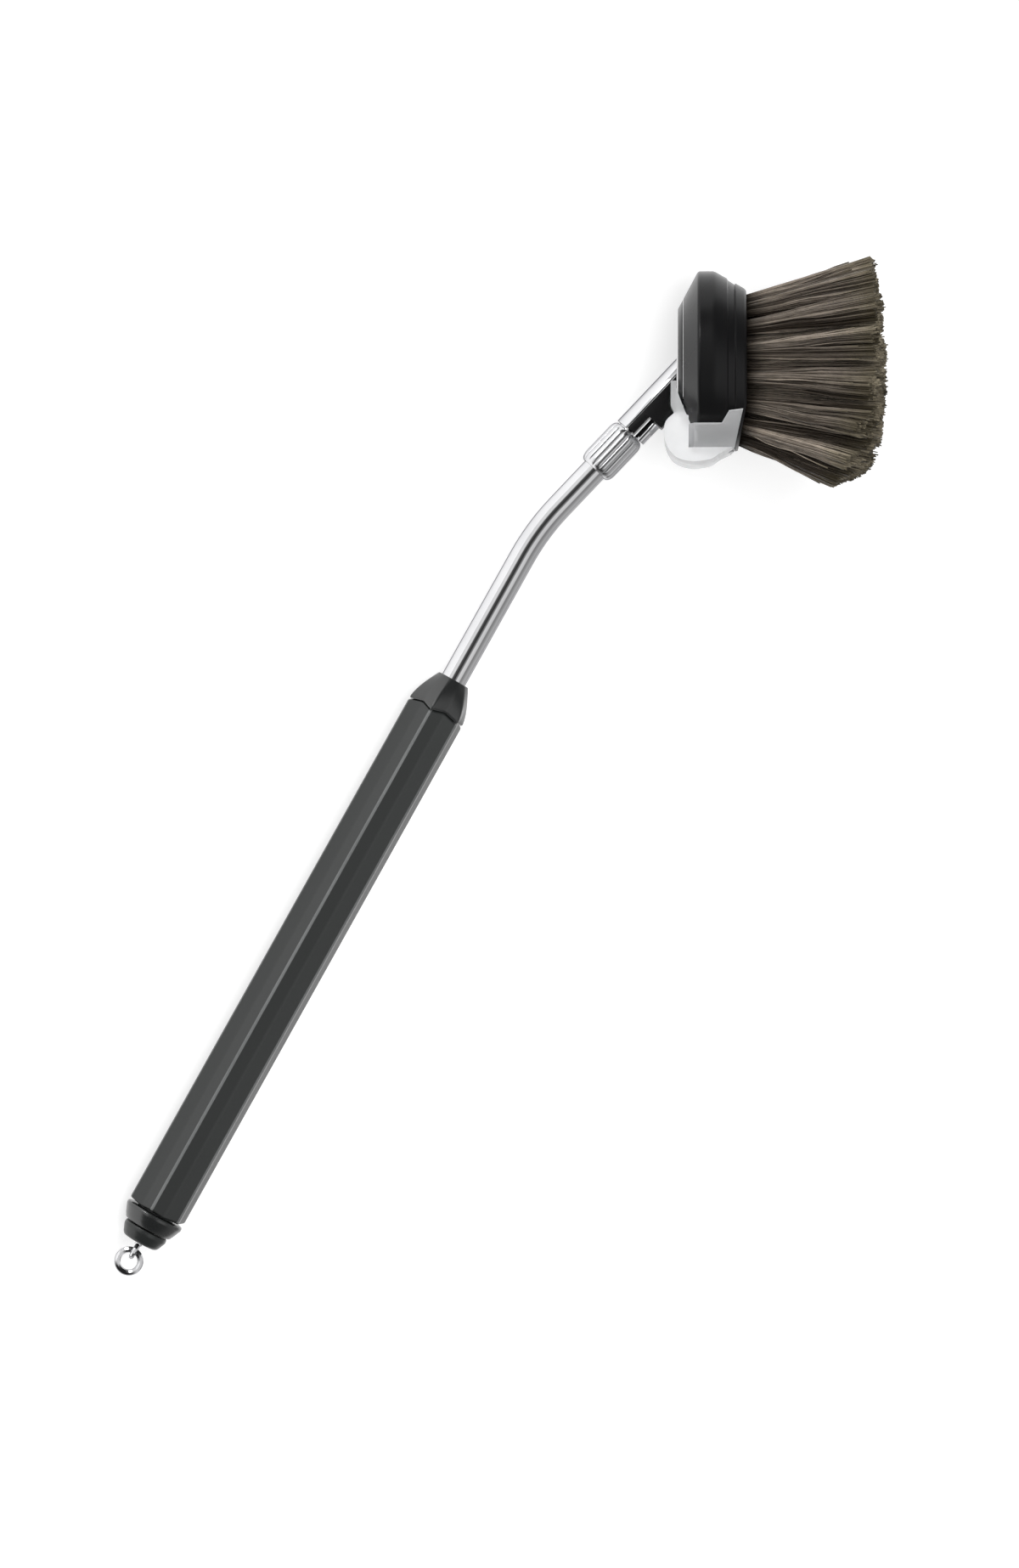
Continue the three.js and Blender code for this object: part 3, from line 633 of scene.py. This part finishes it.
def make_grip():
    """The fluted sleeve, its edges a little rounded and its ends cut back at the ridges."""
    rear = span("grip_sleeve", NOSE_TIP, GRIP_AXIS)[0]
    bore = 4.6 * MM
    rings = Rings(GRIP_FRAME, len(OUTLINE))
    slope = 0.35
    outline_circle(rings, rear, bore)
    # distance from the end and inward, round the end's edge
    edge = ((0.0, 0.55), (0.05, 0.32), (0.16, 0.14), (0.34, 0.04), (0.6, 0.0))
    for back, inward in edge:
        rings.add(lambda j, b=back, i=inward: (
            rear + b * MM + slope * (OUTLINE[j].length - FLUTE_RADIUS),
            *(OUTLINE[j] * (1 - i * MM / RIDGE_RADIUS))))
    steps = 24
    for k in range(1, steps):
        x = rear + (grip_foot(OUTLINE[0]) - rear) * k / steps
        rings.add(lambda j, x=x: (x, *OUTLINE[j]))
    for back, inward in reversed(edge):
        rings.add(lambda j, b=back, i=inward: (
            grip_foot(OUTLINE[j]) - b * MM, *(OUTLINE[j] * (1 - i * MM / RIDGE_RADIUS))))
    outline_circle(rings, grip_foot(Vector((bore, 0))), bore)
    ridge = [float(on_ridge(j)) for j in range(rings.count)] * rings.rings
    return shaped("grip_sleeve_fine", rings.points, rings.faces(), CHARCOAL, "handle",
                  "grip_sleeve", 50, ridge)


def make_nose():
    """The nose cap: the grip's ridges run up it as creases and fade towards its round tip."""
    rear, front = span("nose_cap", NOSE_TIP, GRIP_AXIS)
    bore = STEM_RADIUS + 0.3 * MM
    spigot = 4.3 * MM
    tip_radius = 3.85 * MM
    gap = 0.28 * MM
    rings = Rings(GRIP_FRAME, len(OUTLINE))
    outline_circle(rings, rear, bore)
    outline_circle(rings, rear, spigot)
    outline_circle(rings, grip_foot(Vector((spigot, 0))) + gap, spigot)
    steps = 22
    for k in range(steps + 1):
        t = k / steps
        size = tip_radius + (RIDGE_RADIUS - tip_radius) * (1 - t ** 1.6)
        roundness = t ** 1.7
        lip = 0.25 * MM * max(0.0, 1 - 3 * t * steps / 4) ** 2

        def point_at(j, t=t, size=size, roundness=roundness, lip=lip):
            point = OUTLINE[j]
            share = point.length / RIDGE_RADIUS
            radius = size * (share + (1 - share) * roundness) - lip
            x = (grip_foot(point) + gap) * (1 - t) + (front - 0.3 * MM) * t
            return (x, *(point.normalized() * radius))

        rings.add(point_at)
    outline_circle(rings, front - 0.09 * MM, tip_radius - 0.1 * MM)
    outline_circle(rings, front, tip_radius - 0.36 * MM)
    outline_circle(rings, front, bore)
    return shaped("nose_cap_fine", rings.points, rings.faces(), DARK, "handle",
                  "nose_cap", 50)


def make_stem():
    """The bent rod, swept smoothly through its bend."""
    rear = span("stem_rod", NOSE_TIP, GRIP_AXIS)[0]
    end = span("stem_rod", BEND, NECK_AXIS)[1] - 2.5 * MM
    tangent = 7 * MM
    start, finish = BEND - GRIP_AXIS * tangent, BEND + NECK_AXIS * tangent
    route = [NOSE_TIP + GRIP_AXIS * rear, NOSE_TIP - GRIP_AXIS * 2 * MM]
    bend_steps = 28
    for i in range(bend_steps + 1):
        t = i / bend_steps
        route.append(start * (1 - t) ** 2 + BEND * 2 * t * (1 - t) + finish * t ** 2)
    route.append(BEND + NECK_AXIS * end)
    count = 64
    points = []
    for i, spot in enumerate(route):
        ahead = route[min(i + 1, len(route) - 1)] - route[max(i - 1, 0)]
        out = SIDE_AXIS.cross(ahead.normalized())
        for j in range(count):
            angle = 2 * math.pi * j / count
            round_rod = math.cos(angle) * out + math.sin(angle) * SIDE_AXIS
            points.append(spot + STEM_RADIUS * round_rod)
    faces = ring_faces(len(route), count, closed=False)
    faces.append(tuple(range(count)))
    faces.append(tuple(range((len(route) - 1) * count, len(route) * count)))
    return shaped("stem_rod_fine", points, faces, CHROME, "handle", "stem_rod")


def make_collar():
    """The lock collar: faint rounded ribs that run out at both domed ends, and a plain bore."""
    rear, front = span("lock_collar", BEND, NECK_AXIS)
    bore = STEM_RADIUS + 0.3 * MM
    dome = 1.9 * MM
    rings = Rings(NECK_FRAME, COLLAR_RIBS * 12)
    rings.circle(rear, bore)
    rings.circle(rear, COLLAR_END_RADIUS)
    steps = 36
    for i in range(steps + 1):
        t = i / steps
        edge = min(t, 1 - t) * (front - rear) / dome
        swell = math.sqrt(max(0.0, 1 - max(0.0, 1 - edge) ** 2))

        def point_at(j, s=rear + 0.08 * MM + (front - rear - 0.16 * MM) * t, swell=swell):
            angle = math.tau * j / rings.count
            rib = abs(math.cos(COLLAR_RIBS * angle / 2)) ** 0.6
            full = COLLAR_VALLEY_RADIUS + (COLLAR_RIB_RADIUS - COLLAR_VALLEY_RADIUS) * rib * swell
            radius = COLLAR_END_RADIUS + 0.06 * MM + (full - COLLAR_END_RADIUS - 0.06 * MM) * swell
            return (s, -radius * math.sin(angle), radius * math.cos(angle))

        rings.add(point_at)
    rings.circle(front, COLLAR_END_RADIUS)
    rings.circle(front, bore)
    return shaped("lock_collar_fine", rings.points, rings.faces(), SATIN, "collar",
                  "lock_collar", 50)


def make_spring():
    """The coil inside the collar, which is pressed together as the collar slides back."""
    rear, front = span("collar_spring", BEND, NECK_AXIS)
    coil, turns, wire = 3.3 * MM, 5, 0.2 * MM
    steps, count = 150, 8
    points = []
    for i in range(steps + 1):
        angle = math.tau * turns * i / steps
        out = Vector((0, math.cos(angle), math.sin(angle)))
        spot = Vector((rear + wire + (front - rear - 2 * wire) * i / steps, 0, 0)) + out * coil
        for j in range(count):
            turn = math.tau * j / count
            round_wire = math.cos(turn) * out + Vector((math.sin(turn), 0, 0))
            points.append(NECK_FRAME @ (spot + wire * round_wire))
    faces = ring_faces(steps + 1, count, closed=False)
    faces += [tuple(range(count)), tuple(range(steps * count, (steps + 1) * count))]
    piece = shaped("collar_spring_fine", points, faces, STEEL, None, "collar_spring")
    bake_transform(piece)


def make_head():
    """The head's body: chamfered back, rim, and a banded taper that leans to the heel."""
    def taper(depth):
        narrowing = FACE_RADIUS - RIM_RADIUS
        return RIM_RADIUS + narrowing * (depth - RIM_FRONT) / (HEAD_DEPTH - RIM_FRONT)

    def lean(depth):
        return FACE_SHIFT * max(0.0, (depth - RIM_FRONT) / (HEAD_DEPTH - RIM_FRONT))

    rear = span("back_cover", HEAD_FRAME.translation, HEAD_AXIS)[1] + 0.1 * MM
    rear_radius = BACK_RADIUS + (RIM_RADIUS - BACK_RADIUS) * rear / RIM_REAR
    side, lip, cut = 0.2 * MM, 0.5 * MM, 0.08 * MM
    # depth, radius, and how far each corner is rounded
    outside = (
        (rear, rear_radius, 0.05 * MM),
        (RIM_REAR, RIM_RADIUS, 0.55 * MM),
        (RIM_FRONT, RIM_RADIUS, 0.6 * MM),
        (BAND_REAR, taper(BAND_REAR), cut),
        (BAND_REAR + side, taper(BAND_REAR) - BAND_DROP, cut),
        (BAND_FRONT - side, taper(BAND_FRONT) - BAND_DROP, cut),
        (BAND_FRONT, taper(BAND_FRONT), cut),
        (HEAD_DEPTH - lip, taper(HEAD_DEPTH - lip), 0.15 * MM),
        (HEAD_DEPTH, FACE_RADIUS - lip / 2, 0.1 * MM))
    inside = ((HEAD_DEPTH, PLATE_HOLE), (WEB_FRONT, PLATE_HOLE), (WEB_FRONT, SCREW_HOLE),
              (CAVITY_DEPTH, SCREW_HOLE))
    corners = [Vector((d, r, lean(d))) for d, r, _ in outside]
    corners += [Vector((d, r, FACE_SHIFT)) for d, r in inside]
    corners += [Vector((CAVITY_DEPTH, CAVITY_RADIUS, 0)), Vector((rear, CAVITY_RADIUS, 0))]
    cuts = [corner[2] for corner in outside] + [0] * (len(inside) + 2)
    rings = Rings(HEAD_FRAME, 144)
    for depth, radius, shift in rounded(corners, cuts, 0.05 * MM):
        share = min(1.0, max(0.0, (depth - BAND_FRONT) / (HEAD_DEPTH - lip - BAND_FRONT)))

        def point_at(j, depth=depth, radius=radius, shift=shift, share=share):
            angle = math.tau * j / rings.count
            toe = radius * math.cos(angle) - shift
            back = share * SLANT * max(0.0, -toe - SLANT_START)
            return (depth - back, toe, radius * math.sin(angle))

        rings.add(point_at)
    return shaped("head_body_fine", rings.points, rings.faces(), BLACK, "head",
                  "head_body", 50)


# ---------------------------------------------------------------- bristles

FIBRES_PER_TUFT = {"outer": 310, "middle": 320, "inner": 280}
STRANDS = 9  # in each tuft the fibres cling together in this many strands
FIBRE_RADIUS = 0.18 * MM
FIBRE_STEPS = 7
FIBRE_SIDES = 3
TRIM_SHIFT = 2.5 * MM  # the middle of the trimmed face lies this far towards the heel
TRIM_RADIUS = 25.6 * MM
TRIM_DEPTH = 46.1  # millimetres from the head's back to the middle of the dome
DOME_DROP = 3.0
HEEL_DROP = 7.6
HEEL_START = 0.69  # the share of the radius where the heel starts to round off
GATHERED = 0.26  # how far the fibres of a strand lean together
STRAY_SHARE = 0.04  # of the fibres, which end short of the rest


def trim_depth(toe, side):
    """How far from the head's back the bristles are cut: a shallow dome, rounded off at the heel."""
    out = Vector((toe + TRIM_SHIFT, side)) / TRIM_RADIUS
    dome = DOME_DROP * out.length_squared
    heel = max(0.0, -out.x / max(out.length, 1e-6))
    drop = HEEL_DROP * max(0.0, (out.length - HEEL_START) / 0.31) ** 2.6
    return (TRIM_DEPTH - dome - drop * heel ** 1.5) * MM


def tuft_shape(node):
    """Foot and tip of a tuft's solid in the head's frame, and its radius at both."""
    points = [HEAD_FRAME.inverted() @ p for p in node_points(node)]
    half = (min(p.x for p in points) + max(p.x for p in points)) / 2
    foot_points = [p for p in points if p.x < half]
    tip_points = [p for p in points if p.x >= half]
    foot, tip = middle(foot_points), middle(tip_points)
    foot_radius = max((p - foot).length for p in foot_points)
    tip_radius = max((p - tip).length for p in tip_points)
    return foot, tip, foot_radius, tip_radius


def make_tuft(node, ring, rng):
    """One tuft of separate fibres, which leave their hole together and fan out in strands."""
    foot, tip, foot_radius, tip_radius = tuft_shape(node)
    foot.x -= TUFT_AIR + 0.3 * MM
    golden = math.pi * (3 - math.sqrt(5))
    count = FIBRES_PER_TUFT[ring]
    tuft_tone = rng.uniform(-0.08, 0.08)
    lean = Vector((0, rng.uniform(-0.4, 0.4), rng.uniform(-0.4, 0.4))) * MM
    strands = []
    for i in range(STRANDS):
        share, angle = math.sqrt((i + 0.5) / STRANDS), golden * i + rng.uniform(-0.4, 0.4)
        turn = rng.uniform(0, math.tau)
        sway = Vector((0, math.cos(turn), math.sin(turn))) * rng.uniform(0.15, 0.45) * MM
        strands.append((share * math.cos(angle), share * math.sin(angle), rng.gauss(0, 0.21),
                        rng.gauss(0, 0.3), sway, rng.uniform(0, math.tau),
                        rng.uniform(0.7, 1.4)))
    points, faces, shades, reaches = [], [], [], []
    for i in range(count):
        share = math.sqrt((i + 0.5) / count)
        angle = golden * i + rng.uniform(-0.3, 0.3)
        flat = Vector((share * math.cos(angle), share * math.sin(angle)))
        strand = min(strands, key=lambda s: (s[0] - flat.x) ** 2 + (s[1] - flat.y) ** 2)
        gathered = flat * (1 - GATHERED) + Vector(strand[:2]) * GATHERED
        base = foot + Vector((0, *flat)) * foot_radius * 0.8
        ragged = Vector((0, rng.gauss(0, 0.22), rng.gauss(0, 0.22))) * MM
        end = tip + lean + Vector((0, *gathered)) * tip_radius * 1.06 + ragged
        out = Vector((end.y + TRIM_SHIFT, end.z))
        out *= max(1.0, out.length / TRIM_RADIUS) ** -0.75
        end.y, end.z = out.x - TRIM_SHIFT, out.y
        end.x = trim_depth(end.y, end.z) + (strand[3] + rng.gauss(-0.15, 0.25)) * MM
        if rng.random() < STRAY_SHARE:
            end.x -= rng.uniform(1, 5) * MM
        rise = (base + end) / 2 + Vector((0.5 * MM, 0, 0))
        wave = Vector((0, rng.uniform(-1, 1), rng.uniform(-1, 1))).normalized()
        crimp, phase = rng.uniform(0.05, 0.25) * MM, rng.uniform(0, 6.28)
        turns = rng.uniform(1.0, 2.2)
        radius = FIBRE_RADIUS * rng.uniform(0.75, 1.15)
        shade = min(1.0, max(0.0, 0.12 + 0.65 * rng.betavariate(1.3, 2.4) + tuft_tone + strand[2]))
        first = len(points)
        for step in range(FIBRE_STEPS + 1):
            t = step / FIBRE_STEPS
            spot = base * (1 - t) ** 2 + rise * 2 * t * (1 - t) + end * t ** 2
            spot += wave * crimp * math.sin(phase + turns * math.tau * t) * math.sin(math.pi * t)
            swing = math.sin(strand[5] + strand[6] * math.tau * t)
            spot += strand[4] * swing * math.sin(math.pi * t) ** 0.7
            thin = radius * (0.8 + 0.2 * t)
            for k in range(FIBRE_SIDES):
                around = math.tau * k / FIBRE_SIDES + phase
                rim = Vector((0, math.cos(around), math.sin(around))) * thin
                points.append(HEAD_FRAME @ (spot + rim))
                shades.append(shade)
                reaches.append(t)
        for step in range(FIBRE_STEPS):
            a = first + step * FIBRE_SIDES
            for k in range(FIBRE_SIDES):
                n = (k + 1) % FIBRE_SIDES
                faces.append((a + k, a + n, a + FIBRE_SIDES + n, a + FIBRE_SIDES + k))
        last = first + FIBRE_STEPS * FIBRE_SIDES
        faces.append(tuple(last + k for k in range(FIBRE_SIDES)))
        faces.append(tuple(first + k for k in reversed(range(FIBRE_SIDES))))
    mesh = bpy.data.meshes.new(node + "_fibres")
    mesh.from_pydata(points, [], faces)
    for name, values in (("own_shade", shades), ("reach", reaches)):
        mesh.attributes.new(name, "FLOAT", "POINT").data.foreach_set("value", values)
    for face in mesh.polygons:
        face.use_smooth = True
    mesh.materials.append(FIBRE.material)
    piece = bpy.data.objects.new(node + "_fibres", mesh)
    bpy.context.scene.collection.objects.link(piece)
    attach(piece, "head")
    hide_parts(node)


def make_bristles():
    rng = random.Random(SEED)
    for node in sorted(frame["nodes"]):
        if node.startswith("tuft_"):
            make_tuft(node, node.split("_")[1], rng)


# ---------------------------------------------------------------- the whole scene

bpy.context.scene.view_settings.view_transform = "Standard"
make_camera()
make_world()
make_floor()
area_light("key", UP * 0.3 + RIGHT * 0.15 + TOWARDS, 1.4, (0.9, 0.9), 15, False)
area_light("fill", RIGHT * 0.44 - UP * 0.24 + TOWARDS, 1.6, (1.2, 1.2), 10, False)
area_light("kicker", UP * 0.6 - RIGHT * 0.33 + TOWARDS * 0.73, 1.2, (0.2, 0.3), 1.6, True)

dress()
make_grip()
soften("end_ring", 0.25 * MM, 3, 18)
soften("end_plug", 0.25 * MM, 3, 18)
soften("stem_arm", 0.2 * MM, 3)
soften("lock_finger", 0.2 * MM, 3)
soften("head_neck", 0.35 * MM, 4)
soften("back_cover", 0.06 * MM, 2)
soften("bristle_plate", 0.2 * MM, 3)
soften("scraper", 0.22 * MM, 3, 18)
for plain in ("hang_eye", "hang_ring"):
    soften(plain, 0).modifiers.new("round", "SUBSURF").render_levels = 2
for hidden in ("grip_core", "cross_pin", "nose_seal", "spring_seat", "plate_screw",
               "neck_screw_1", "neck_screw_2"):
    soften(hidden, 0)
make_nose()
make_stem()
make_collar()
make_spring()
make_head()
make_bristles()
